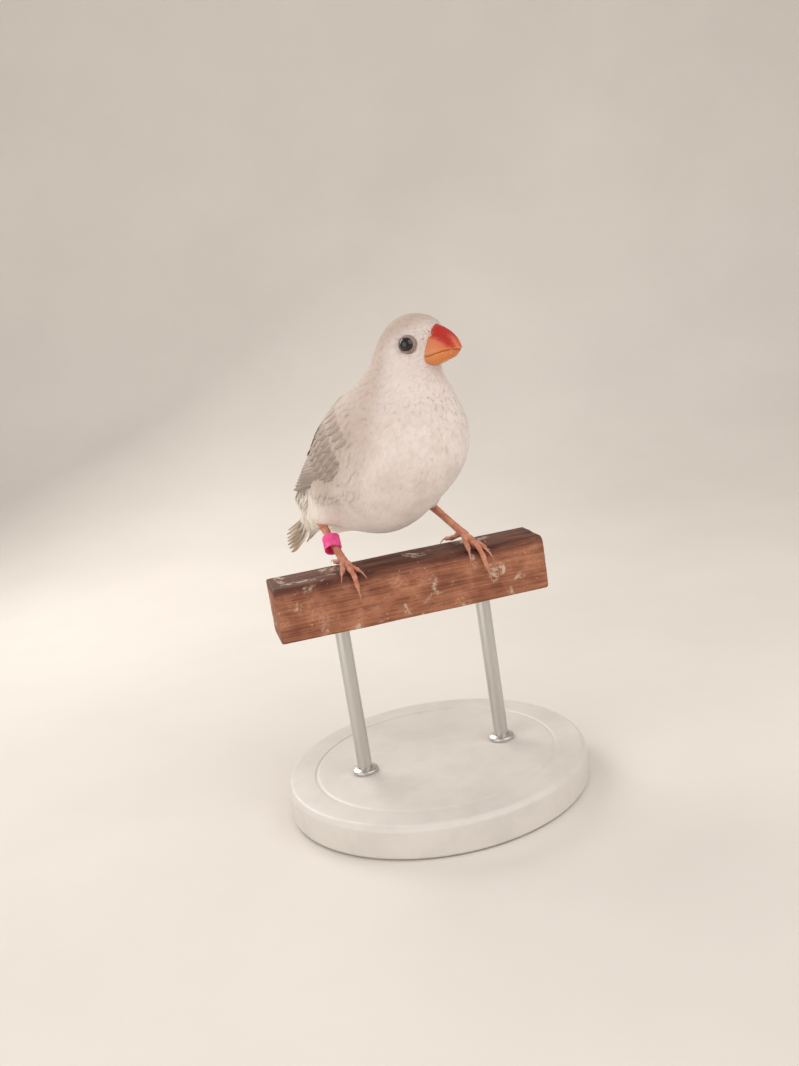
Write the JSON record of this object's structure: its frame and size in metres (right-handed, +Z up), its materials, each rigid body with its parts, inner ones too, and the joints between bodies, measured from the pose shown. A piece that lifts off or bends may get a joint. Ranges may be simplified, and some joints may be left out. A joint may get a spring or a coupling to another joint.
{
  "type": "white zebra finch on a cut perch with a display stand",
  "caption": "Life-size still model of a white zebra finch with an orange bill and a leg ring, perched on a cut wooden rail held by a plain display stand.",
  "frame": {"origin": "Middle of the underside of the stand's base, on the surface it stands on.", "axes": "+Z up. +X along the cut perch, +Y behind it. The bird's body heads 60 degrees from +X towards -Y, its head 48 degrees."},
  "size_m": [0.084, 0.0844, 0.1302],
  "materials": {
    "white_plumage": "soft white feathers, warm and very slightly grey on the crown and back",
    "grey_washed_plumage": "white feathers with a pale grey-brown wash",
    "cream_plumage": "cream feathers with a light brown wash at the ends",
    "dark_eye": "wet dark brown eye",
    "orange_red_bill": "waxy orange horn, red along the ridge",
    "bare_skin": "scaled orange-pink skin",
    "claw_horn": "pale translucent horn",
    "pink_plastic": "plain hot-pink leg ring",
    "worn_wood": "reddish brown wood, worn, with specks and cracks",
    "stand_white": "satin off-white",
    "stand_metal": "satin steel"
  },
  "bodies": {
    "root": {"torso": "white_plumage", "neck": "white_plumage", "head": "white_plumage", "thigh_left": "white_plumage", "thigh_right": "white_plumage", "tail": "cream_plumage", "wing_left": "grey_washed_plumage", "wing_right": "grey_washed_plumage", "eye_left": "dark_eye", "eye_right": "dark_eye", "bill_upper": "orange_red_bill", "bill_lower": "orange_red_bill", "leg_left": "bare_skin", "leg_right": "bare_skin", "foot_left": "bare_skin", "foot_right": "bare_skin", "leg_ring": "pink_plastic", "perch": "worn_wood", "stand_base": "stand_white", "stand_rod_left": "stand_metal", "stand_rod_right": "stand_metal", "claw_left_1": "claw_horn", "claw_left_2": "claw_horn", "claw_left_3": "claw_horn", "claw_left_4": "claw_horn", "claw_right_1": "claw_horn", "claw_right_2": "claw_horn", "claw_right_3": "claw_horn", "claw_right_4": "claw_horn"}
  },
  "joints": []
}
